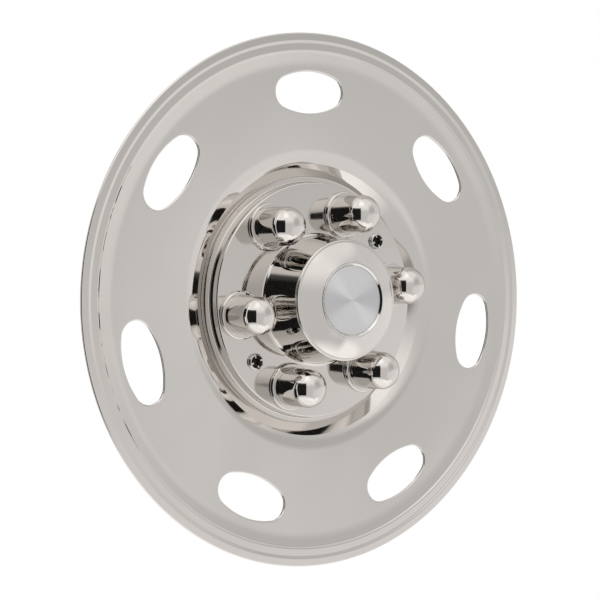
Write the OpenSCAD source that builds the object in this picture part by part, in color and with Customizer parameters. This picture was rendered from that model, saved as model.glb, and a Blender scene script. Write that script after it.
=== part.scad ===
// Wheel simulator: a polished sheet steel dress-up cover for a six stud wheel.
// The axis lies along Y, the front faces -Y and +Z is up. The origin is on the axis,
// in the plane where the two mounting brackets seat on the wheel's studs.
// Profiles are drawn as [radius, height], with height measured forwards from that plane.

/* [Liner] */
// Overall diameter of the liner
liner_d = 403; // [394:1:420]
// Thickness of the polished sheet
sheet_t = 1; // [0.8:0.1:1.2]
// Width of the folded hem round the edge
hem_w = 3.9; // [3:0.1:5]
// Width of the outer rim band
band_outer_w = 6.1; // [5.4:0.1:9]
// Width of the inner rim band
band_inner_w = 6.1; // [5:0.1:9]
// Radial run of the step below each rim band
step_w = 1.2; // [1:0.1:2]
// Drop of the step below each rim band
step_h = 0.9; // [0.5:0.1:1.4]
// Width of the steep shoulder inside the rim bands
shoulder_w = 7.8; // [7:0.1:10]
// Drop of that shoulder
shoulder_h = 1.3; // [1:0.1:2]
// Drop of the shallow cone that carries the hand holes
cone_h = 4.7; // [4:0.1:6]
// Radial run of the soft turn into the centre dish
turn_w = 6.6; // [6:0.1:9]
// Drop of that turn
turn_h = 2.7; // [2:0.1:3.4]
// Radial run of the dish wall
dish_w = 8; // [8:0.1:10]
// Drop of the dish wall
dish_h = 6.4; // [5:0.1:8]
// Clear width of dish floor round the hub cover's foot
floor_gap = 2.2; // [2:0.1:4]
// Width of dish floor that lies under the hub cover
floor_lap = 11; // [8:0.1:12]
// Height of the dish floor in front of the bracket seats
floor_z = 8.6; // [7:0.1:12]

/* [Hand holes] */
// Number of hand holes
hole_count = 7; // [5:1:8]
// Length of a hand hole round the wheel
hole_l = 61.2; // [56:0.1:65]
// Width of a hand hole across the wheel
hole_w = 31.5; // [30:0.1:35]
// Radius of the ends of a hand hole
hole_end_r = 12.2; // [11:0.1:13]
// Flat left between a hand hole and the shoulder
hole_margin = 6.1; // [5:0.1:8]
// Depth of the turned-in edge of a hand hole
hole_flange = 5; // [3:0.1:7]
// Turn of the first hand hole from straight up
hole_clock = 4; // [0:0.1:51]

/* [Hub cover] */
// Height of the lug plate above the dish floor
plate_h = 10.1; // [9:0.1:14]
// Width of lug plate outside the lug covers
plate_margin = 1.5; // [1.4:0.1:4]
// Bend radius at the edge of the lug plate
plate_bend = 1.3; // [1.3:0.1:1.4]
// Width of the foot that rests on the dish floor
foot_w = 4; // [3.6:0.1:6]
// Height of the hub wall above the lug plate
hub_h = 35.2; // [32:0.1:40]
// Taper of the hub wall over its height
hub_taper = 5.2; // [4:0.1:6.4]
// Bend radius between lug plate and hub wall
hub_fillet = 2.8; // [1.8:0.1:3]
// Clear width between the lug covers and that bend
lug_gap = 0.2; // [0.2:0.1:2]
// Width of the lip turned in at the front of the hub wall
hub_lip = 5; // [4:0.1:7]
// Turn of the first lug cover from the horizontal
lug_clock = 9.8; // [0:0.1:59]

/* [Lug covers] */
// Diameter of the wheel's stud circle
stud_pcd = 139.7; // [137:0.1:143]
// Radius of a lug cover's base bead
lug_bead_r = 18.1; // [17.6:0.1:18.6]
// Height of the base bead
lug_bead_h = 3.1; // [2.6:0.1:4]
// Radius of a lug cover's body above its bead
lug_body_r = 15; // [14.7:0.1:15.6]
// Radius of a lug cover's domed end
lug_dome_r = 14.3; // [13.8:0.1:14.6]
// Height of the dome's widest circle above the lug plate
lug_dome_h = 24.2; // [20:0.1:28]
// Height of the dome above its widest circle
lug_nose_h = 12.2; // [11:0.1:14.3]
// Width of the rim crimped behind the lug plate
lug_crimp = 1.6; // [1:0.1:2]

/* [Centre cap] */
// Overhang of the cap's rolled edge outside the hub wall
cap_over = 1.5; // [0.8:0.1:2.2]
// Height of the cap's rolled edge
cap_edge_h = 3; // [2.8:0.1:4]
// Width of the rolled edge
cap_edge_w = 2; // [1.8:0.1:3]
// Rise of the cap's domed face
cap_rise = 7.6; // [6:0.1:9]
// Bulge of that face above a straight cone
cap_bulge = 0.9; // [0.5:0.1:1.4]
// Length of the skirt that locates the cap in the hub
cap_skirt = 6; // [4:0.1:8]
// Radius of the recess for the medallion
recess_r = 28; // [26:0.1:30]
// Depth of that recess
recess_h = 1.8; // [1.5:0.1:2]
// Radial width of the medallion's bezel
bezel_w = 2.1; // [1.6:0.1:3]
// Height of the bezel above the cap's face
bezel_rise = 0.6; // [0.3:0.1:1]
// Thickness of the medallion
medal_t = 1; // [0.8:0.1:1.2]

/* [Fixings] */
// Distance of the two cover screws outside the stud circle
screw_out = 2.6; // [1.6:0.1:5.4]
// Diameter of a screw's head
screw_head_d = 12.3; // [11:0.1:13]
// Height of a screw's head
screw_head_h = 3.2; // [2.8:0.1:4]
// Diameter of a screw's thread
screw_d = 6.3; // [5.5:0.1:6.8]
// Radial clearance of a screw in the lug plate
screw_gap = 0.4; // [0.3:0.1:0.8]
// Length of a screw under its head
screw_l = 15; // [11:0.1:18]
// Width of a slot in a screw's cross recess
slot_w = 1.6; // [1.2:0.1:2]
// Diameter of the hole for a wheel stud
stud_hole_d = 14; // [13:0.1:15]
// Thickness of a mounting bracket
bracket_t = 3; // [2.5:0.1:3.5]
// Width of a mounting bracket
bracket_w = 22; // [20:0.1:23]
// Radius of a bracket's round foot
bracket_foot_r = 13.5; // [12.5:0.1:14]
// Distance from the stud's axis to the bracket's leg
bracket_reach = 25; // [23:0.1:27]
// Width across the flats of a weld nut
nut_w = 11; // [10:0.1:13]
// Height of a weld nut
nut_h = 5; // [4:0.1:6]

/* [Hidden] */
$fn = 96;
lug_count = 6;
fit_gap = 0.15;
thread_gap = 0.1;
lug_pitch_r = stud_pcd / 2;
screw_pitch_r = lug_pitch_r + screw_out;

// Heights above the bracket seats
plate_z = floor_z + plate_h;
plate_back = plate_z - sheet_t;
hub_z = plate_z + hub_h;
cap_edge_z = hub_z + cap_edge_h;
cap_z = cap_edge_z + cap_rise;
recess_z = cap_z - recess_h;
dome_z = plate_z + lug_dome_h;

// Radii, from the stud circle outwards to the dish and from the rim inwards to the cone
plate_r = lug_pitch_r + lug_bead_r + plate_margin;
foot_r = plate_r + foot_w;
floor_r = foot_r + floor_gap;
bore_r = floor_r + sheet_t - floor_gap - floor_lap;
crease_r = floor_r + dish_w;
turn_r = crease_r + turn_w;
liner_r = liner_d / 2;
band_1 = liner_r - band_outer_w;
step_1 = band_1 - step_w;
band_2 = step_1 - band_inner_w;
step_2 = band_2 - step_w;
cone_r = step_2 - shoulder_w;
hole_pitch_r = cone_r - hole_margin - hole_w / 2;
hub_base_r = lug_pitch_r - lug_bead_r - lug_gap - hub_fillet;
hub_top_r = hub_base_r - hub_taper;
hub_mouth_r = hub_top_r - hub_lip;
cap_r = hub_top_r + cap_over;
face_r = cap_r - cap_edge_w;

// Heights of the liner's front, from the dish floor up to the rim
crease_z = floor_z + dish_h;
turn_z = crease_z + turn_h;
cone_z = turn_z + cone_h;
band_z = cone_z + shoulder_h + step_h;
rim_z = band_z + step_h;
hem_h = 2 * sheet_t + 0.2;

steel = [0.78, 0.77, 0.75];
zinc = [0.62, 0.63, 0.64];

function unit(v) = v / norm(v);
function left_of(v) = [-v[1], v[0]];
function turned(v, a) = [v[0] * cos(a) - v[1] * sin(a), v[0] * sin(a) + v[1] * cos(a)];
function reversed(list) = [for (i = [len(list) - 1:-1:0]) list[i]];

// Points of a round bend at b, on the way from a to c
function bend(a, b, c, radius, steps = 5) =
    let (u = unit(a - b), v = unit(c - b), half = acos(u * v) / 2,
         centre = b + unit(u + v) * radius / sin(half),
         spoke = b + u * radius / tan(half) - centre,
         sweep = (u[0] * v[1] - u[1] * v[0] > 0 ? -1 : 1) * (180 - 2 * half))
    [for (i = [0:steps]) centre + turned(spoke, sweep * i / steps)];

// A line of [radius, height, bend radius] corners with its bends filled in
function bent(path) =
    let (p = [for (c = path) [c[0], c[1]]], last = len(path) - 1)
    [for (i = [0:last])
        each (i == 0 || i == last || path[i][2] == 0) ? [p[i]]
            : bend(p[i - 1], p[i], p[i + 1], path[i][2])];

// The same line moved to its left by t, for the other face of a sheet
function beside(line, t) =
    let (last = len(line) - 1)
    [for (i = [0:last])
        let (n = left_of(unit(line[max(i, 1)] - line[max(i, 1) - 1])),
             m = left_of(unit(line[min(i, last - 1) + 1] - line[min(i, last - 1)])),
             mid = unit(n + m))
        line[i] + mid * t / (mid * n)];

// A line from a to b with a shallow bulge to its right
function bulged(a, b, rise, steps) =
    [for (i = [0:steps])
        let (t = i / steps)
        a + (b - a) * t - unit(left_of(b - a)) * 4 * rise * t * (1 - t)];

// Stands a shape drawn along +Z on the wheel's axis, so that it points forwards
module forwards(height = 0) rotate([90, 0, 0]) translate([0, 0, height]) children();
module revolve(outline) forwards() rotate_extrude() polygon(outline);
module sheet(line) revolve(concat(line, reversed(beside(line, sheet_t))));
// Puts its children on a circle round the axis, at an angle from +X towards +Z
module around(angle, radius) rotate([0, -angle, 0]) translate([radius, 0, 0]) children();
function lug_angle(i) = lug_clock + (i - 1) * 360 / lug_count;
function screw_angle(i) = lug_angle(i) + 180 / lug_count;

// Liner
liner_front = bent([
    [liner_r - hem_w, rim_z, 0],
    [band_1, rim_z, 1.4],
    [step_1, band_z + 0.15, 1.4],
    [band_2, band_z, 1.4],
    [step_2, band_z - step_h, 1.4],
    [cone_r, cone_z, 60],
    [turn_r, turn_z, 30],
    [crease_r, crease_z, 1.5],
    [floor_r, floor_z, 2.4],
    [bore_r, floor_z, 0]]);
hole_z = turn_z + cone_h * (hole_pitch_r - turn_r) / (cone_r - turn_r);
hole_side_r = (pow(hole_l / 2 - hole_end_r, 2) + pow(hole_w / 2, 2) - pow(hole_end_r, 2))
    / (hole_w - 2 * hole_end_r);

// The four-arc outline of a hand hole, enlarged all round by grow
function arc(centre, radius, from, to, steps = 8) =
    [for (i = [0:steps - 1]) centre + turned([radius, 0], from + (to - from) * i / steps)];
function oval(grow) =
    let (end_x = hole_l / 2 - hole_end_r, side_y = hole_side_r - hole_w / 2,
         joint = atan2(side_y, end_x), end_r = hole_end_r + grow, side_r = hole_side_r + grow)
    concat(arc([end_x, 0], end_r, -joint, joint),
           arc([0, -side_y], side_r, joint, 180 - joint),
           arc([-end_x, 0], end_r, 180 - joint, 180 + joint),
           arc([0, side_y], side_r, 180 + joint, 360 - joint));
module hand_hole(grow, low, high) forwards(low) rotate([0, 0, 90])
    linear_extrude(high - low) polygon(oval(grow));
module at_holes() for (i = [0:hole_count - 1])
    around(90 + hole_clock + i * 360 / hole_count, hole_pitch_r) children();

module wheel_liner() color(steel) difference() {
    union() {
        hem = [for (a = [-90:30:90])
            [liner_r - hem_h / 2 + hem_h / 2 * cos(a), rim_z - hem_h / 2 + hem_h / 2 * sin(a)]];
        front = [for (i = [1:len(liner_front) - 1]) liner_front[i]];
        revolve(concat([[liner_r - hem_w, rim_z - hem_h]], hem, front,
                       reversed(beside(liner_front, sheet_t))));
        // Turned-in edges of the hand holes, trimmed under the face of the cone
        intersection() {
            at_holes() hand_hole(sheet_t, hole_z - hole_flange, hole_z + hole_flange);
            revolve([[turn_r, 0], [cone_r, 0],
                     [cone_r, cone_z - sheet_t / 2], [turn_r, turn_z - sheet_t / 2]]);
        }
    }
    at_holes() hand_hole(0, hole_z - hole_flange - 1, rim_z + 1);
}

// Hub cover: foot, skirt, lug plate, hub wall and front lip in one sheet
foot_z = floor_z + sheet_t;
module lug_circle() for (i = [1:lug_count]) around(lug_angle(i), lug_pitch_r) children();
module screw_circle() for (i = [1, 4]) around(screw_angle(i), screw_pitch_r) children();
lug_hole_r = lug_body_r - sheet_t;
screw_hole_r = screw_d / 2 + screw_gap;
module hub_cover() color(steel) difference() {
    sheet(bent([
        [foot_r, foot_z, 0],
        [plate_r, foot_z, 1.2],
        [plate_r, plate_z, plate_bend],
        [hub_base_r, plate_z, hub_fillet],
        [hub_top_r, hub_z, 1.6],
        [hub_mouth_r, hub_z, 0]]));
    lug_circle() forwards(plate_back - 1) cylinder(r = lug_hole_r, h = sheet_t + 2);
    screw_circle() forwards(plate_back - 1) cylinder(r = screw_hole_r, h = sheet_t + 2);
}

// Lug cover: hollow, with a domed end, a base bead and a neck crimped behind the plate
module lug_cover(i) color(steel) {
    neck_r = lug_hole_r - fit_gap;
    crimp_r = neck_r + lug_crimp;
    bore = neck_r - sheet_t;
    bead_z = plate_z + lug_bead_h;
    outer = concat(
        [[bore, plate_back - sheet_t], [crimp_r, plate_back - sheet_t], [crimp_r, plate_back],
         [neck_r, plate_back], [neck_r, plate_z]],
        bend([neck_r, plate_z], [lug_bead_r, plate_z], [lug_bead_r, bead_z], 0.6, 3),
        bend([lug_bead_r, plate_z], [lug_bead_r, bead_z], [lug_body_r, bead_z], 1.5, 4),
        [[lug_body_r, bead_z]],
        [for (a = [0:7.5:90]) [lug_dome_r * cos(a), dome_z + lug_nose_h * sin(a)]]);
    inner = concat(
        [for (a = [90:-15:0])
            [(lug_dome_r - sheet_t) * cos(a), dome_z + (lug_nose_h - sheet_t) * sin(a)]],
        [[bore, bead_z]]);
    around(lug_angle(i), lug_pitch_r) revolve(concat(outer, inner));
}

// Centre cap: skirt, rolled edge, domed face and a recess for the medallion
module center_cap() color(steel) {
    skirt_r = hub_mouth_r - fit_gap;
    dome = bulged([face_r, cap_edge_z], [recess_r, cap_z], cap_bulge, 6);
    outer = concat(
        [[skirt_r, hub_z - cap_skirt], [skirt_r, hub_z]],
        bend([skirt_r, hub_z], [cap_r, hub_z], [cap_r, cap_edge_z], 1, 3),
        bend([cap_r, hub_z], [cap_r, cap_edge_z], [face_r, cap_edge_z], 1.5, 4),
        dome,
        [[recess_r, recess_z], [0, recess_z]]);
    under = [for (p = beside(dome, sheet_t)) if (p[0] > recess_r + sheet_t) p];
    inner = concat(
        [[0, recess_z - sheet_t], [recess_r, recess_z - sheet_t]],
        reversed(under),
        [[cap_r - sheet_t, cap_edge_z - 1.4 * sheet_t], [cap_r - sheet_t, hub_z + sheet_t],
         [skirt_r - sheet_t, hub_z + sheet_t], [skirt_r - sheet_t, hub_z - cap_skirt]]);
    revolve(concat(outer, inner));
}
bezel_r = recess_r - fit_gap;
bezel_top = cap_z + bezel_rise;
medal_z = recess_z + medal_t;
module medallion_bezel() color("silver") {
    crown = bezel_w / 4;
    revolve(concat(
        [[bezel_r - bezel_w, recess_z], [bezel_r, recess_z]],
        [for (a = [0:22.5:135])
            [bezel_r - crown + crown * cos(a), bezel_top - crown + crown * sin(a)]],
        [[bezel_r - bezel_w, medal_z]]));
}
module cap_medallion() color("gainsboro")
    forwards(recess_z) cylinder(r = bezel_r - bezel_w - fit_gap, h = medal_t);

// Fixings
nut_z = plate_back - bracket_t;
module cover_screw(i) color("silver") around(screw_angle(i), screw_pitch_r) {
    head_r = screw_head_d / 2;
    shank_r = screw_d / 2;
    head_z = plate_z + screw_head_h;
    difference() {
        revolve(concat(
            [[0, plate_z - screw_l], [shank_r - 0.8, plate_z - screw_l],
             [shank_r, plate_z - screw_l + 0.8], [shank_r, plate_z], [head_r - 0.3, plate_z],
             [head_r, plate_z + 0.5]],
            bend([head_r, plate_z], [head_r, head_z - 0.6], [0, head_z], 1.4, 4),
            [[0, head_z]]));
        for (a = [20, 110]) rotate([0, a, 0])
            forwards(head_z - 1.8) translate([-0.3 * screw_head_d, -slot_w / 2, 0])
                cube([0.6 * screw_head_d, slot_w, 3]);
    }
}

// Bracket: a foot clamped under a wheel nut, a leg and a pad behind the lug plate
screw_run = norm(screw_pitch_r * [cos(180 / lug_count), sin(180 / lug_count)] - [lug_pitch_r, 0]);
screw_turn = atan2(screw_pitch_r * sin(180 / lug_count),
                   screw_pitch_r * cos(180 / lug_count) - lug_pitch_r);
module bracket(i) color(zinc) around(lug_angle(i), lug_pitch_r) rotate([0, -screw_turn, 0]) {
    back = bent([[0, 0, 0], [bracket_reach, 0, 4], [bracket_reach, nut_z, 2],
                 [screw_run + screw_head_d / 2 + 2, nut_z, 0]]);
    difference() {
        union() {
            forwards() rotate([90, 0, 0]) translate([0, 0, -bracket_w / 2])
                linear_extrude(bracket_w) polygon(concat(back, reversed(beside(back, bracket_t))));
            forwards() cylinder(r = bracket_foot_r, h = bracket_t);
        }
        forwards(-1) cylinder(r = stud_hole_d / 2, h = bracket_t + 2);
        translate([screw_run, 0, 0]) forwards(nut_z - 1) cylinder(r = screw_hole_r, h = bracket_t + 2);
    }
}
module weld_nut(i) color(zinc) around(screw_angle(i), screw_pitch_r) difference() {
    forwards(nut_z - nut_h) cylinder(r = nut_w / 2 / cos(30), h = nut_h, $fn = 6);
    forwards(nut_z - nut_h - 1) cylinder(r = screw_d / 2 + thread_gap, h = nut_h + 2);
}

wheel_liner();
hub_cover();
lug_cover(1);  // lug_cover_1
lug_cover(2);  // lug_cover_2
lug_cover(3);  // lug_cover_3
lug_cover(4);  // lug_cover_4
lug_cover(5);  // lug_cover_5
lug_cover(6);  // lug_cover_6
center_cap();
medallion_bezel();
cap_medallion();
cover_screw(1);  // cover_screw_upper
cover_screw(4);  // cover_screw_lower
bracket(1);  // bracket_upper
bracket(4);  // bracket_lower
weld_nut(1);  // weld_nut_upper
weld_nut(4);  // weld_nut_lower
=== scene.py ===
import bpy
from math import pi, sin, cos, tan, acos, atan2, hypot, radians, degrees
from mathutils import Matrix, Vector


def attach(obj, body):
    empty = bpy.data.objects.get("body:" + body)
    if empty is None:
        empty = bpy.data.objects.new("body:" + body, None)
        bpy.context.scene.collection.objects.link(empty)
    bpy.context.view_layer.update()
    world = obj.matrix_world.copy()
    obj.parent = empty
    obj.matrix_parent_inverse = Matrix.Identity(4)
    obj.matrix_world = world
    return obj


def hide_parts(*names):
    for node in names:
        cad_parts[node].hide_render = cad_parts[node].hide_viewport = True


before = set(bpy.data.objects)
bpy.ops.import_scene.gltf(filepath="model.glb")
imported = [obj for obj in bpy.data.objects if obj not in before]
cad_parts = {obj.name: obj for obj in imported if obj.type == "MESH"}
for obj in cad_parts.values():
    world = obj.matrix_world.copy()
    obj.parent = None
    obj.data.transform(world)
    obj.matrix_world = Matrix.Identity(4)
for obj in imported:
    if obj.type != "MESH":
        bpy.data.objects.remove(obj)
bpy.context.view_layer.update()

mm = 0.001

# Sizes of the cover in mm. Heights are measured forwards from the bracket seats, along -Y.
cover = {
    "sheet": 1.0,
    "rimRadius": 201.5,
    "rimHeight": 25.5,
    "floorHeight": 8.6,
    "plateHeight": 18.7,
    "hubHeight": 53.9,
    "studRadius": 69.85,
    "lugTurn": 9.8,          # degrees from +X to the first lug cover
    "holeTurn": 94.0,        # degrees from +X to the first hand hole
    "holeRadius": 157.25,
}


# Helpers for profiles, drawn as (radius, height)

def unit(x, y):
    length = hypot(x, y)
    return x / length, y / length


def bendPoints(a, b, c, radius, steps):
    # a round bend at b, on the way from a to c
    ux, uy = unit(a[0] - b[0], a[1] - b[1])
    vx, vy = unit(c[0] - b[0], c[1] - b[1])
    half = acos(max(-1, min(1, ux * vx + uy * vy))) / 2
    mx, my = unit(ux + vx, uy + vy)
    cx, cy = b[0] + mx * radius / sin(half), b[1] + my * radius / sin(half)
    sx, sy = b[0] + ux * radius / tan(half) - cx, b[1] + uy * radius / tan(half) - cy
    sweep = (pi - 2 * half) * (-1 if ux * vy - uy * vx > 0 else 1)
    points = []
    for i in range(steps + 1):
        t = sweep * i / steps
        points.append((cx + sx * cos(t) - sy * sin(t), cy + sx * sin(t) + sy * cos(t)))
    return points


def bentLine(corners, stepAngle=6.0):
    # corners are (radius, height, bend radius)
    line = []
    for i, corner in enumerate(corners):
        here = corner[:2]
        if i in (0, len(corners) - 1) or corner[2] == 0:
            line.append(here)
            continue
        before, after = corners[i - 1][:2], corners[i + 1][:2]
        ux, uy = unit(here[0] - before[0], here[1] - before[1])
        vx, vy = unit(after[0] - here[0], after[1] - here[1])
        turn = degrees(acos(max(-1, min(1, ux * vx + uy * vy))))
        line += bendPoints(before, here, after, corner[2], max(4, int(turn / stepAngle) + 1))
    return line


def filledLine(line, spacing, guard=0.25):
    # extra points along straight runs, with a pair close to each end so that shading stays flat
    dense = [line[0]]
    for a, b in zip(line, line[1:]):
        length = hypot(b[0] - a[0], b[1] - a[1])
        if length > 4 * guard:
            count = max(1, int((length - 2 * guard) / spacing))
            stops = [guard + (length - 2 * guard) * k / count for k in range(count + 1)]
            ux, uy = unit(b[0] - a[0], b[1] - a[1])
            dense += [(a[0] + ux * stop, a[1] + uy * stop) for stop in stops]
        dense.append(b)
    return dense


def besideLine(line, t):
    # the same line moved to its left by t
    moved = []
    last = len(line) - 1
    for i in range(last + 1):
        a, b = line[max(i, 1) - 1], line[max(i, 1)]
        c, d = line[min(i, last - 1)], line[min(i, last - 1) + 1]
        n = unit(-(b[1] - a[1]), b[0] - a[0])
        m = unit(-(d[1] - c[1]), d[0] - c[0])
        k = unit(n[0] + m[0], n[1] + m[1])
        s = t / (k[0] * n[0] + k[1] * n[1])
        moved.append((line[i][0] + k[0] * s, line[i][1] + k[1] * s))
    return moved


def ovalLine(radius, rise, height, start, end, steps):
    # part of an ellipse about the axis, radius wide and rise high, centred at a height
    angles = [radians(start + (end - start) * i / steps) for i in range(steps + 1)]
    return [(radius * cos(angle), height + rise * sin(angle)) for angle in angles]


# Helpers for meshes

def deselectAll():
    if bpy.context.object and bpy.context.object.mode != "OBJECT":
        bpy.ops.object.mode_set(mode="OBJECT")
    bpy.ops.object.select_all(action="DESELECT")


def pickOnly(piece):
    deselectAll()
    piece.select_set(True)
    bpy.context.view_layer.objects.active = piece


def profileRing(name, outline):
    # a closed ring of edges in the XY plane, from a circle whose points are moved onto the outline
    deselectAll()
    bpy.ops.mesh.primitive_circle_add(vertices=len(outline), radius=0.01, fill_type="NOTHING")
    ring = bpy.context.object
    ring.name = name
    for vertex, (radius, height) in zip(ring.data.vertices, outline):
        vertex.co = (radius * mm, -height * mm, 0)
    return ring


def spunPiece(name, outline, turns, angle=35):
    piece = profileRing(name, outline)
    bpy.ops.object.mode_set(mode="EDIT")
    bpy.ops.mesh.select_all(action="SELECT")
    bpy.ops.mesh.spin(steps=turns, angle=2 * pi, center=(0, 0, 0), axis=(0, 1, 0))
    bpy.ops.mesh.select_all(action="SELECT")
    bpy.ops.mesh.remove_doubles(threshold=1e-6)
    bpy.ops.mesh.delete_loose()
    bpy.ops.mesh.select_all(action="SELECT")
    bpy.ops.mesh.normals_make_consistent(inside=False)
    bpy.ops.object.mode_set(mode="OBJECT")
    bpy.ops.object.shade_smooth_by_angle(angle=radians(angle))
    return piece


def onCircle(angle, radius):
    # turns a piece drawn on the wheel's axis to its place on a circle round it
    return Matrix.Rotation(-radians(angle), 4, "Y") @ Matrix.Translation((radius * mm, 0, 0))


def copyTo(piece, name, place):
    twin = piece.copy()
    twin.data = piece.data.copy()
    twin.name = name
    twin.data.name = name
    bpy.context.collection.objects.link(twin)
    twin.data.transform(place)
    return twin


def joinInto(piece, others):
    pickOnly(piece)
    for other in others:
        other.select_set(True)
    bpy.ops.object.join()
    return bpy.context.object


def cutWith(piece, cutter):
    pickOnly(piece)
    cut = piece.modifiers.new("cut", "BOOLEAN")
    cut.operation = "DIFFERENCE"
    cut.solver = "EXACT"
    cut.object = cutter
    bpy.ops.object.modifier_apply(modifier="cut")
    bpy.data.objects.remove(cutter, do_unlink=True)


def finishPiece(piece, material, node):
    piece.data.materials.clear()
    piece.data.materials.append(material)
    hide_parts(node)
    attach(piece, "root")
    print("made", piece.name, len(piece.data.polygons), "faces")


# Materials

def newMaterial(name):
    material = bpy.data.materials.new(name)
    material.use_nodes = True
    nodes, links = material.node_tree.nodes, material.node_tree.links
    return material, nodes, links, nodes["Principled BSDF"]


def polishedSteel(name, color, waviness=0.02, rippleScale=14):
    material, nodes, links, shader = newMaterial(name)
    shader.inputs["Metallic"].default_value = 1.0
    place = nodes.new("ShaderNodeTexCoord")
    haze = nodes.new("ShaderNodeTexNoise")           # faint polishing haze in the roughness
    haze.inputs["Scale"].default_value = 90
    haze.inputs["Detail"].default_value = 6
    spread = nodes.new("ShaderNodeMapRange")
    spread.inputs["From Min"].default_value = 0.35
    spread.inputs["From Max"].default_value = 0.7
    spread.inputs["To Min"].default_value = 0.035
    spread.inputs["To Max"].default_value = 0.075
    links.new(place.outputs["Object"], haze.inputs["Vector"])
    links.new(haze.outputs["Fac"], spread.inputs["Value"])
    links.new(spread.outputs["Result"], shader.inputs["Roughness"])
    ripple = nodes.new("ShaderNodeTexNoise")         # the slow ripple of spun sheet
    ripple.inputs["Scale"].default_value = rippleScale
    ripple.inputs["Detail"].default_value = 2
    bump = nodes.new("ShaderNodeBump")
    bump.inputs["Strength"].default_value = waviness
    bump.inputs["Distance"].default_value = 0.002
    links.new(place.outputs["Object"], ripple.inputs["Vector"])
    links.new(ripple.outputs["Fac"], bump.inputs["Height"])
    links.new(bump.outputs["Normal"], shader.inputs["Normal"])
    tint = nodes.new("ShaderNodeTexNoise")           # barely uneven tone
    tint.inputs["Scale"].default_value = 9
    tint.inputs["Detail"].default_value = 3
    tone = nodes.new("ShaderNodeMix")
    tone.data_type = "RGBA"
    tone.inputs["A"].default_value = (*color, 1)
    tone.inputs["B"].default_value = (*[c * 0.97 for c in color], 1)
    links.new(place.outputs["Object"], tint.inputs["Vector"])
    links.new(tint.outputs["Fac"], tone.inputs["Factor"])
    links.new(tone.outputs["Result"], shader.inputs["Base Color"])
    return material


def steelWithPaintedSlotShade(name, color, paintedShade):
    # plated steel with painted shade: a near-black colour where the piece's depth attribute is 1 stands in
    # for the shade inside the recess
    material = polishedSteel(name, color, 0.0)
    nodes, links = material.node_tree.nodes, material.node_tree.links
    shader = nodes["Principled BSDF"]
    depth = nodes.new("ShaderNodeAttribute")
    depth.attribute_name = "depth"
    tone = nodes.new("ShaderNodeMix")
    tone.data_type = "RGBA"
    links.new(shader.inputs["Base Color"].links[0].from_socket, tone.inputs["A"])
    # the near-black colour is painted shade for the slots' sunk faces
    tone.inputs["B"].default_value = (*paintedShade, 1)
    links.new(depth.outputs["Fac"], tone.inputs["Factor"])
    links.new(tone.outputs["Result"], shader.inputs["Base Color"])
    return material


def brushedDisc(name):
    material, nodes, links, shader = newMaterial(name)
    shader.inputs["Metallic"].default_value = 1.0
    shader.inputs["Base Color"].default_value = (0.78, 0.78, 0.80, 1)
    shader.inputs["Roughness"].default_value = 0.45
    shader.inputs["Anisotropic"].default_value = 0.95
    shader.inputs["Anisotropic Rotation"].default_value = 0.25
    tangent = nodes.new("ShaderNodeTangent")
    tangent.direction_type = "RADIAL"
    tangent.axis = "Y"
    links.new(tangent.outputs["Tangent"], shader.inputs["Tangent"])
    return material


def zincPlate(name):
    material, nodes, links, shader = newMaterial(name)
    shader.inputs["Metallic"].default_value = 1.0
    shader.inputs["Base Color"].default_value = (0.5, 0.51, 0.53, 1)
    place = nodes.new("ShaderNodeTexCoord")
    cloud = nodes.new("ShaderNodeTexNoise")
    cloud.inputs["Scale"].default_value = 160
    cloud.inputs["Detail"].default_value = 5
    spread = nodes.new("ShaderNodeMapRange")
    spread.inputs["To Min"].default_value = 0.28
    spread.inputs["To Max"].default_value = 0.48
    links.new(place.outputs["Object"], cloud.inputs["Vector"])
    links.new(cloud.outputs["Fac"], spread.inputs["Value"])
    links.new(spread.outputs["Result"], shader.inputs["Roughness"])
    return material


steelColor = (0.665, 0.64, 0.615)
linerSteel = polishedSteel("linerSteel", steelColor, 0.6, 7)
hubSteel = polishedSteel("hubSteel", steelColor)
trimSteel = polishedSteel("trimSteel", (0.66, 0.65, 0.64), 0.0)
# the screws' material paints near-black shade into their slots
screwSteelPaintedSlotShade = steelWithPaintedSlotShade("screwSteelPaintedSlotShade", (0.62, 0.61, 0.60), (0.020, 0.018, 0.016))
medallionFace = brushedDisc("medallionFace")
zinc = zincPlate("zincPlate")

# Liner

liner = {
    "hemWidth": 3.9, "hemHeight": 2.2,
    "bandOuter": 5.9, "bandInner": 5.7, "stepWidth": 1.6, "stepHeight": 0.9,
    "shoulderWidth": 7.8, "shoulderHeight": 1.3,
    "coneHeight": 4.7, "turnRadius": 110.15, "turnHeight": 17.7,
    "creaseRadius": 103.55, "creaseHeight": 15.0,
    "floorRadius": 94.1, "boreRadius": 83.35,
    "turns": 240,
}
hole = {
    "length": 61.2, "width": 31.5, "endRadius": 12.2, "count": 7, "points": 120,
    "flange": 2.2, "edge": 1.0, "backEdge": 0.95, "cutBelow": 15, "cutAbove": 8,
}


def linerCorners():
    rim, top = cover["rimRadius"], cover["rimHeight"]
    band1 = rim - liner["bandOuter"]
    step1 = band1 - liner["stepWidth"]
    band2 = step1 - liner["bandInner"]
    step2 = band2 - liner["stepWidth"]
    coneR = step2 - liner["shoulderWidth"]
    coneZ = top - 2 * liner["stepHeight"] - liner["shoulderHeight"]
    return [
        (rim - liner["hemHeight"] / 2, top, 0),
        (band1, top, 2.4),
        (step1, top - liner["stepHeight"] + 0.15, 2.4),
        (band2, top - liner["stepHeight"], 2.4),
        (step2, top - 2 * liner["stepHeight"], 2.4),
        (coneR, coneZ, 60),
        (liner["turnRadius"], liner["turnHeight"], 30),
        (liner["creaseRadius"], liner["creaseHeight"], 1.5),
        (liner["floorRadius"], cover["floorHeight"], 1.8),
        (liner["boreRadius"], cover["floorHeight"], 0)]


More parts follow.
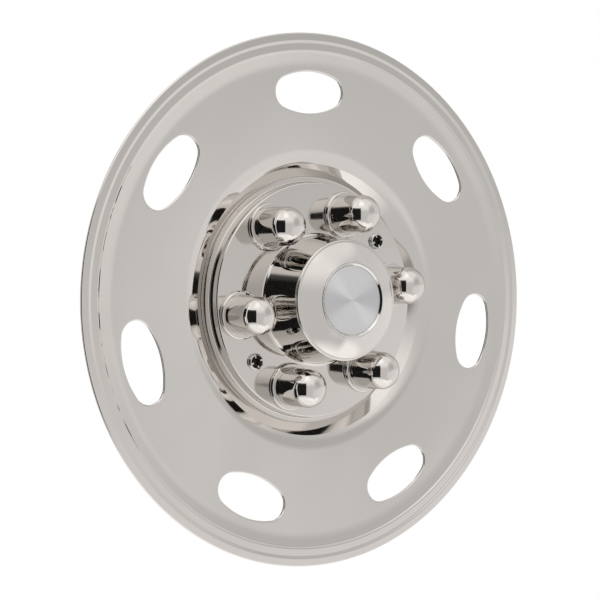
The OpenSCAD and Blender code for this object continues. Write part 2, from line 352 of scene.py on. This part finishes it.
def linerOutline():
    front = filledLine(bentLine(linerCorners(), 2.5), 3.0)
    plain = bentLine(linerCorners(), 9)
    plain[0] = (cover["rimRadius"] - liner["hemWidth"], cover["rimHeight"])
    back = besideLine(plain, cover["sheet"])
    hemR = liner["hemHeight"] / 2
    hem = ovalLine(hemR, hemR, cover["rimHeight"] - hemR, -90, 90, 12)
    hem = [(cover["rimRadius"] - hemR + x, z) for x, z in hem]
    start = [(cover["rimRadius"] - liner["hemWidth"], cover["rimHeight"] - liner["hemHeight"])]
    return start + hem + front[1:] + filledLine(back[::-1], 12, 1.0)


def frontHeight(radius):
    # height of the liner's front at a radius on the cone
    corners = linerCorners()
    outer, inner = corners[5], corners[6]
    return inner[1] + (outer[1] - inner[1]) * (radius - inner[0]) / (outer[0] - inner[0])


def ovalPoints(grow):
    # the four-arc outline of a hand hole, its long axis along y, enlarged all round by grow
    endX = hole["length"] / 2 - hole["endRadius"]
    halfWidth, endR = hole["width"] / 2, hole["endRadius"]
    sideR = (endX ** 2 + halfWidth ** 2 - endR ** 2) / (2 * (halfWidth - endR))
    sideY = sideR - halfWidth
    joint = atan2(sideY, endX)
    steps = hole["points"] // 4
    arcs = [((endX, 0), endR, -joint, joint),
            ((0, -sideY), sideR, joint, pi - joint),
            ((-endX, 0), endR, pi - joint, pi + joint),
            ((0, sideY), sideR, pi + joint, 2 * pi - joint)]
    points = []
    for (cx, cy), radius, start, end in arcs:
        for i in range(steps):
            t = start + (end - start) * i / steps
            x, y = cx + (radius + grow) * cos(t), cy + (radius + grow) * sin(t)
            points.append((-y, x))
    return points


def ovalRings(name, section, closeEnds):
    # rings of points, each extruded from the one before; section is (grow, height, whether on the cone)
    deselectAll()
    bpy.ops.mesh.primitive_circle_add(vertices=hole["points"], radius=0.02,
                                      fill_type="NGON" if closeEnds else "NOTHING")
    piece = bpy.context.object
    piece.name = name
    count = hole["points"]
    for ringIndex, (grow, height, onCone) in enumerate(section):
        if ringIndex:
            bpy.ops.object.mode_set(mode="EDIT")
            if closeEnds:
                bpy.ops.mesh.extrude_region_move()
            else:
                bpy.ops.mesh.extrude_edges_move()
            bpy.ops.object.mode_set(mode="OBJECT")
        vertices = [v for v in piece.data.vertices if v.select]
        for vertex, (x, y) in zip(vertices[:count], ovalPoints(grow)):
            away = hypot(cover["holeRadius"] + x, y) if onCone else cover["holeRadius"]
            base = frontHeight(away)
            vertex.co = ((cover["holeRadius"] + x) * mm, -(base + height) * mm, y * mm)
    bpy.ops.object.mode_set(mode="EDIT")
    if not closeEnds:
        bpy.ops.mesh.select_all(action="DESELECT")
        bpy.ops.mesh.select_non_manifold()
        bpy.ops.mesh.bridge_edge_loops()
    bpy.ops.mesh.select_all(action="SELECT")
    bpy.ops.mesh.normals_make_consistent(inside=False)
    bpy.ops.object.mode_set(mode="OBJECT")
    bpy.ops.object.shade_smooth_by_angle(angle=radians(40))
    return piece


def aroundHoles(piece):
    copies = []
    for i in range(hole["count"]):
        turn = Matrix.Rotation(-radians(cover["holeTurn"] + i * 360 / hole["count"]), 4, "Y")
        copies.append(copyTo(piece, piece.name + str(i), turn))
    bpy.data.objects.remove(piece, do_unlink=True)
    return copies


def makeLiner():
    piece = spunPiece("wheelLiner", linerOutline(), liner["turns"], 40)
    edge, depth, back = hole["edge"], hole["flange"], hole["backEdge"]
    ends = [(edge, -hole["cutBelow"], False), (edge, hole["cutAbove"], False)]
    cutters = aroundHoles(ovalRings("holeCutter", ends, True))
    cutWith(piece, joinInto(cutters[0], cutters[1:]))
    pickOnly(piece)
    bpy.ops.object.shade_smooth_by_angle(angle=radians(30))
    # from the front over the rounding, down the turned-in edge and back up behind it
    rounding = [(edge * (1 - sin(radians(a))), -edge * (1 - cos(radians(a))), True) for a in range(0, 91, 10)]
    section = rounding + [(0, -depth + 0.2, True), (0.2, -depth, True), (back - 0.05, -depth, True),
                          (back, -0.6, True)]
    flanges = aroundHoles(ovalRings("holeEdge", section, False))
    return joinInto(piece, flanges)


finishPiece(makeLiner(), linerSteel, "wheel_liner")

# Hub cover

hub = {
    "plateRadius": 89.35, "plateBend": 1.3, "footRadius": 93.35, "skirtLean": 0.75,
    "baseRadius": 48.75, "topRadius": 43.55, "fillet": 2.8, "mouthRadius": 38.55,
    "lugHoleRadius": 14.0, "screwHoleRadius": 3.55, "screwRadius": 72.45, "turns": 256,
    "screwAngles": (30, 210),    # degrees from the first lug cover
}


def hubCorners():
    foot = cover["floorHeight"] + cover["sheet"]
    return [
        (hub["footRadius"], foot, 0),
        (hub["plateRadius"] + hub["skirtLean"], foot, 1.2),
        (hub["plateRadius"], cover["plateHeight"], hub["plateBend"]),
        (hub["baseRadius"], cover["plateHeight"], hub["fillet"]),
        (hub["topRadius"], cover["hubHeight"], 1.6),
        (hub["mouthRadius"], cover["hubHeight"], 0)]


def makeHub():
    front = filledLine(bentLine(hubCorners(), 6), 2.5, 0.15)
    back = filledLine(besideLine(bentLine(hubCorners(), 12), cover["sheet"])[::-1], 10, 0.8)
    piece = spunPiece("hubCover", front + back, hub["turns"], 40)
    cutters = []
    turn = cover["lugTurn"]
    holes = [(turn + 60 * i, cover["studRadius"], hub["lugHoleRadius"]) for i in range(6)]
    holes += [(turn + angle, hub["screwRadius"], hub["screwHoleRadius"]) for angle in hub["screwAngles"]]
    low, high = cover["plateHeight"] - 3, cover["plateHeight"] + 2
    for angle, radius, size in holes:
        cutter = spunPiece("plateCutter", [(0, low), (size, low), (size, high), (0, high)], 48)
        cutter.data.transform(onCircle(angle, radius))
        cutters.append(cutter)
    cutWith(piece, joinInto(cutters[0], cutters[1:]))
    pickOnly(piece)
    bpy.ops.object.shade_smooth_by_angle(angle=radians(30))
    return piece


finishPiece(makeHub(), hubSteel, "hub_cover")

# Lug covers

lug = {
    "beadRadius": 18.1, "beadHeight": 3.1, "bodyRadius": 15.0,
    "domeRadius": 14.3, "domeHeight": 24.2, "noseHeight": 12.2,
    "neckRadius": 13.85, "crimp": 1.6, "turns": 96,
}


def makeLug():
    plate = cover["plateHeight"]
    sheet = cover["sheet"]
    back = plate - sheet
    bead = plate + lug["beadHeight"]
    centre = plate + lug["domeHeight"]
    neckR, beadR = lug["neckRadius"], lug["beadRadius"]
    bore, crimp = neckR - sheet, neckR + lug["crimp"]
    outer = [(bore, back - sheet), (crimp, back - sheet), (crimp, back), (neckR, back), (neckR, plate)]
    outer += bendPoints((neckR, plate), (beadR, plate), (beadR, bead), 0.6, 6)
    outer += bendPoints((beadR, plate), (beadR, bead), (lug["bodyRadius"], bead), 1.5, 12)
    body = bentLine([(lug["bodyRadius"] + 0.3, bead, 0), (lug["bodyRadius"], bead, 0.25),
                     (lug["domeRadius"], centre, 0)], 12)
    outer += filledLine(body, 2.0, 0.1)[:-1]
    outer += ovalLine(lug["domeRadius"], lug["noseHeight"], centre, 0, 90, 36)
    inner = ovalLine(lug["domeRadius"] - sheet, lug["noseHeight"] - sheet, centre, 90, 0, 12)
    return spunPiece("lugCover", outer + inner + [(bore, bead)], lug["turns"], 50)


lugMaster = makeLug()
for i in range(6):
    place = onCircle(cover["lugTurn"] + 60 * i, cover["studRadius"])
    piece = copyTo(lugMaster, "lugCover" + str(i + 1), place)
    finishPiece(piece, hubSteel, "lug_cover_" + str(i + 1))
bpy.data.objects.remove(lugMaster, do_unlink=True)

# Centre cap with its bezel and medallion

cap = {
    "radius": 45.05, "edgeHeight": 3.0, "edgeWidth": 2.0, "rise": 7.6, "bulge": 0.4,
    "recessRadius": 28.0, "recessDepth": 1.8, "bezelWidth": 2.1, "bezelRise": 0.6,
    "medallion": 1.0, "skirtRadius": 38.4, "skirt": 6.0, "turns": 192,
}


def bulgedLine(a, b, rise, steps):
    nx, ny = unit(-(b[1] - a[1]), b[0] - a[0])
    line = []
    for i in range(steps + 1):
        t = i / steps
        lift = 4 * rise * t * (1 - t)
        line.append((a[0] + (b[0] - a[0]) * t - nx * lift, a[1] + (b[1] - a[1]) * t - ny * lift))
    return line


def makeCap():
    low, sheet = cover["hubHeight"], cover["sheet"]
    radius, recessR, skirtR = cap["radius"], cap["recessRadius"], cap["skirtRadius"]
    edge = low + cap["edgeHeight"]
    top = edge + cap["rise"]
    seat = top - cap["recessDepth"]
    face = radius - cap["edgeWidth"]
    dome = bulgedLine((face, edge), (recessR, top), cap["bulge"], 30)
    outer = [(skirtR, low - cap["skirt"]), (skirtR, low)]
    outer += bendPoints((skirtR, low), (radius, low), (radius, edge), 1.0, 10)
    outer += bendPoints((radius, low), (radius, edge), (face, edge), 1.5, 14)
    outer += dome + [(recessR, seat), (0, seat)]
    under = besideLine(bulgedLine((face, edge), (recessR, top), cap["bulge"], 8), sheet)
    under = [point for point in under if point[0] > recessR + sheet]
    inner = [(0, seat - sheet), (recessR, seat - sheet)] + under[::-1]
    inner += [(radius - sheet, edge - 1.4), (radius - sheet, low + sheet),
              (skirtR - sheet, low + sheet), (skirtR - sheet, low - cap["skirt"])]
    return spunPiece("centreCap", outer + inner, cap["turns"], 40)


def makeBezel():
    outerR = cap["recessRadius"] - 0.15
    innerR = outerR - cap["bezelWidth"]
    top = cover["hubHeight"] + cap["edgeHeight"] + cap["rise"] + cap["bezelRise"]
    seat = top - cap["bezelRise"] - cap["recessDepth"]
    crown = cap["bezelWidth"] / 4
    arch = ovalLine(crown, crown, top - crown, 0, 135, 14)
    arch = [(outerR - crown + x, z) for x, z in arch]
    slope = [(innerR, seat + cap["medallion"])]
    outline = [(innerR, seat), (outerR, seat)] + arch + slope
    return spunPiece("medallionBezel", outline, cap["turns"], 30)


def makeMedallion():
    radius = cap["recessRadius"] - 0.3 - cap["bezelWidth"]
    seat = cover["hubHeight"] + cap["edgeHeight"] + cap["rise"] - cap["recessDepth"]
    top = seat + cap["medallion"]
    rings = [(radius, top - 0.15), (radius - 0.15, top)]
    rings += [(radius * (1 - k / 12), top) for k in range(1, 12)]
    outline = [(0, seat), (radius, seat)] + rings + [(0, top)]
    return spunPiece("capMedallion", outline, cap["turns"], 30)


finishPiece(makeCap(), hubSteel, "center_cap")
finishPiece(makeBezel(), trimSteel, "medallion_bezel")
finishPiece(makeMedallion(), medallionFace, "cap_medallion")

# Screws

screw = {
    "headRadius": 6.15, "headHeight": 3.2, "shankRadius": 3.15, "length": 15.0, "turns": 64,
    "slotWidth": 1.6, "slotLength": 7.5, "slotDepth": 1.8, "slotTurn": 20, "slotLip": 0.12,
}


def makeScrew():
    plate = cover["plateHeight"]
    top = plate + screw["headHeight"]
    head, shank = screw["headRadius"], screw["shankRadius"]
    tip = plate - screw["length"]
    outline = [(0, tip), (shank - 0.8, tip), (shank, tip + 0.8), (shank, plate),
               (head - 0.3, plate), (head, plate + 0.5)]
    outline += bendPoints((head, plate), (head, top - 0.6), (0, top), 1.4, 10)
    outline += [(1.0, top - 0.1), (0, top)]
    piece = spunPiece("coverScrew", outline, screw["turns"], 40)
    slots = []
    for turn in (screw["slotTurn"], screw["slotTurn"] + 90):
        deselectAll()
        bpy.ops.mesh.primitive_cube_add(size=1)
        slot = bpy.context.object
        bpy.ops.object.mode_set(mode="EDIT")
        bpy.ops.mesh.select_all(action="SELECT")
        bpy.ops.mesh.bevel(offset=0.06, segments=2)
        bpy.ops.object.mode_set(mode="OBJECT")
        for vertex in slot.data.vertices:
            depth = 0.5 - vertex.co.y                    # 0 at the bottom of the slot, 1 at its mouth
            narrow = 0.55 + 0.45 * depth
            vertex.co = (vertex.co.x * screw["slotLength"] * narrow * mm,
                         -(top - screw["slotDepth"] + depth * 3.0) * mm,
                         vertex.co.z * screw["slotWidth"] * (0.7 + 0.3 * depth) * mm)
        slot.data.transform(Matrix.Rotation(radians(turn), 4, "Y"))
        slots.append(slot)
    for slot in slots:
        cutWith(piece, slot)
    pickOnly(piece)
    bpy.ops.object.shade_smooth_by_angle(angle=radians(35))
    # the depth attribute marks the faces sunk below the head, where the material paints shade into the slots
    depth = piece.data.attributes.new("depth", "FLOAT", "CORNER")
    for face in piece.data.polygons:
        x, y, z = face.center / mm
        inSlot = hypot(x, z) < screw["slotLength"] / 2
        sunk = inSlot and plate < -y < top - screw["slotLip"]
        for corner in face.loop_indices:
            depth.data[corner].value = 1.0 if sunk else 0.0
    return piece


screwMaster = makeScrew()
screwNames = (("coverScrewUpper", "cover_screw_upper"), ("coverScrewLower", "cover_screw_lower"))
for angle, (name, node) in zip(hub["screwAngles"], screwNames):
    piece = copyTo(screwMaster, name, onCircle(cover["lugTurn"] + angle, hub["screwRadius"]))
    finishPiece(piece, screwSteelPaintedSlotShade, node)
bpy.data.objects.remove(screwMaster, do_unlink=True)

# Brackets and weld nuts keep their own shape

for node in ("bracket_upper", "bracket_lower", "weld_nut_upper", "weld_nut_lower"):
    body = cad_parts[node]
    body.data.materials.clear()
    body.data.materials.append(zinc)
print("materials set")

# Camera

view = {"azimuth": -35.70, "elevation": 0.13, "roll": 0.74, "distance": 1.1117,
        "focal": 1465.9, "right": 22.25, "down": -0.10}
az, el = radians(view["azimuth"]), radians(view["elevation"])
aim = Vector((0, -cover["rimHeight"] * mm, 0))
back = Vector((sin(az) * cos(el), -cos(az) * cos(el), sin(el)))
side = Vector((0, 0, 1)).cross(back).normalized()
upwards = back.cross(side)
turn = radians(view["roll"])
sideTurned = side * cos(turn) + upwards * sin(turn)
upTurned = upwards * cos(turn) - side * sin(turn)
camera = bpy.data.objects.new("camera", bpy.data.cameras.new("camera"))
bpy.context.collection.objects.link(camera)
camera.matrix_world = Matrix((
    (sideTurned.x, upTurned.x, back.x, aim.x + back.x * view["distance"]),
    (sideTurned.y, upTurned.y, back.y, aim.y + back.y * view["distance"]),
    (sideTurned.z, upTurned.z, back.z, aim.z + back.z * view["distance"]),
    (0, 0, 0, 1)))
camera.data.sensor_width = 36
camera.data.lens = view["focal"] * 36 / 600
camera.data.shift_x = -view["right"] / 600
camera.data.shift_y = view["down"] / 600
camera.data.clip_start = 0.05
bpy.context.scene.camera = camera

# Studio: a pale floor, and a soft tent whose side opening is what the metal shows as black.
# Each part of the tent lies over those before it. A side is (degrees, softness): left and right
# are turned about the wheel from its front, bottom and top are above the level of its axis.

studio = {
    "floorSize": 1.6, "floorHeight": -0.75, "floorColor": (0.88, 0.87, 0.85),
    "plainLight": 0.9, "tint": (1, 0.985, 0.97), "wall": 0.76,
    "parts": [
        {"tone": 1.14, "right": (24, 14), "bottom": (20, 14)},
        {"tone": 1.06, "left": (10, 14), "bottom": (38, 7)},
        {"tone": 0.85, "left": (54, 6), "bottom": (6, 4), "top": (38, 8)},
        {"tone": 0.82, "left": (66, 7), "bottom": (26, 6)},
        {"tone": 0.52, "left": (95, 6), "right": (135, 8), "bottom": (24, 6)},
        {"tone": 1.48, "left": (-48, 12), "right": (-4, 12), "bottom": (44, 9), "top": (74, 6)},
        {"tone": 0.62, "left": (20, 6), "right": (54, 6), "bottom": (5, 7), "top": (28, 7)},
        {"tone": 0.93, "left": (12, 8), "right": (54, 5), "bottom": (-36, 5), "top": (-5, 6)},
        {"tone": 1.01, "left": (50, 7), "right": (125, 10), "bottom": (-46, 4), "top": (3, 5)},
        {"tone": 0.95, "left": (37, 4), "right": (60, 6), "bottom": (-20, 4), "top": (1, 4)},
        {"tone": 1.24, "top": (-46, 6)},
        {"tone": 1.42, "left": (-8, 8), "right": (42, 8), "bottom": (-62, 4), "top": (-52, 4)},
        {"tone": 1.32, "left": (38, 7), "right": (74, 10), "bottom": (-62, 6), "top": (-37, 4)},
        {"tone": 1.45, "left": (-124, 4), "right": (-93, 2), "bottom": (-36, 3), "top": (62, 8)},
        {"tone": 0.15, "left": (-170, 5), "right": (-124, 4), "bottom": (-44, 6), "top": (44, 6)},
        {"tone": 0.13, "left": (-95, 1.5), "right": (-31, 2), "bottom": (-37, 0.8), "top": (30, 2)},
        {"tone": 0.015, "left": (-94, 1.5), "right": (-33, 2), "bottom": (-36.5, 0.8), "top": (25, 4)},
        {"tone": 0.015, "left": (-60, 2), "right": (-30, 0.8), "bottom": (-36.5, 0.8), "top": (16, 3)},
    ],
}


def makeFloor():
    deselectAll()
    bpy.ops.mesh.primitive_plane_add(size=studio["floorSize"], location=(0, 0, studio["floorHeight"]))
    floor = bpy.context.object
    floor.name = "studioFloor"
    floor.visible_glossy = False                     # the metal sees the tent's own floor
    paint, nodes, links, shader = newMaterial("floorPaint")
    shader.inputs["Base Color"].default_value = (*studio["floorColor"], 1)
    shader.inputs["Roughness"].default_value = 0.8
    floor.data.materials.append(paint)


def makeWorld():
    world = bpy.data.worlds.new("tent")
    bpy.context.scene.world = world
    world.use_nodes = True
    nodes, links = world.node_tree.nodes, world.node_tree.links
    nodes.clear()

    def math(operation, a, b=None, clamp=False):
        node = nodes.new("ShaderNodeMath")
        node.operation = operation
        node.use_clamp = clamp
        for socket, value in zip(node.inputs, (a, b)):
            if value is None:
                continue
            if isinstance(value, (int, float)):
                socket.default_value = value
            else:
                links.new(value, socket)
        return node.outputs[0]

    def fade(value, low, high):
        # 0 below low, 1 above high, smooth between
        node = nodes.new("ShaderNodeMapRange")
        node.interpolation_type = "SMOOTHSTEP"
        links.new(value, node.inputs["Value"])
        node.inputs["From Min"].default_value = low
        node.inputs["From Max"].default_value = high
        node.inputs["To Min"].default_value = 0
        node.inputs["To Max"].default_value = 1
        return node.outputs[0]

    def blend(factor, a, b):
        node = nodes.new("ShaderNodeMix")
        node.data_type = "RGBA"
        links.new(factor, node.inputs["Factor"])
        for name, value in (("A", a), ("B", b)):
            if isinstance(value, tuple):
                node.inputs[name].default_value = (*value, 1)
            else:
                links.new(value, node.inputs[name])
        return node.outputs["Result"]

    place = nodes.new("ShaderNodeTexCoord")
    split = nodes.new("ShaderNodeSeparateXYZ")
    links.new(place.outputs["Generated"], split.inputs[0])
    x, y, z = split.outputs
    front = math("MULTIPLY", y, -1)
    azimuth = math("DEGREES", math("ARCTAN2", x, front))
    elevation = math("DEGREES", math("ARCSINE", z))

    def insideOf(part):
        # 1 inside a part of the tent, fading over a few degrees at each side that the part names
        mask = None
        for side, angle, sign in (("left", azimuth, 1), ("right", azimuth, -1),
                                  ("bottom", elevation, 1), ("top", elevation, -1)):
            if side in part:
                edge, soft = part[side]
                across = angle if sign == 1 else math("MULTIPLY", angle, -1)
                limit = fade(across, sign * edge - soft, sign * edge + soft)
                mask = limit if mask is None else math("MULTIPLY", mask, limit)
        return mask

    def tinted(tone):
        return tuple(tone * c for c in studio["tint"])

    tent = tinted(studio["wall"])
    for part in studio["parts"]:
        tent = blend(insideOf(part), tent, tinted(part["tone"]))

    plain = nodes.new("ShaderNodeBackground")        # what lights paint and cloth
    plain.inputs["Color"].default_value = (*studio["tint"], 1)
    plain.inputs["Strength"].default_value = studio["plainLight"]
    path = nodes.new("ShaderNodeLightPath")
    shown = nodes.new("ShaderNodeBackground")        # what the camera and the metal see
    links.new(blend(path.outputs["Is Camera Ray"], tent, (1, 1, 1)), shown.inputs["Color"])
    shown.inputs["Strength"].default_value = 1.0
    seen = math("MAXIMUM", path.outputs["Is Camera Ray"], path.outputs["Is Glossy Ray"])
    seen = math("MAXIMUM", seen, path.outputs["Is Transmission Ray"])
    choose = nodes.new("ShaderNodeMixShader")
    links.new(seen, choose.inputs[0])
    links.new(plain.outputs[0], choose.inputs[1])
    links.new(shown.outputs[0], choose.inputs[2])
    output = nodes.new("ShaderNodeOutputWorld")
    links.new(choose.outputs[0], output.inputs["Surface"])


makeFloor()
makeWorld()
bpy.context.scene.view_settings.view_transform = "Standard"
print("studio set")

deselectAll()
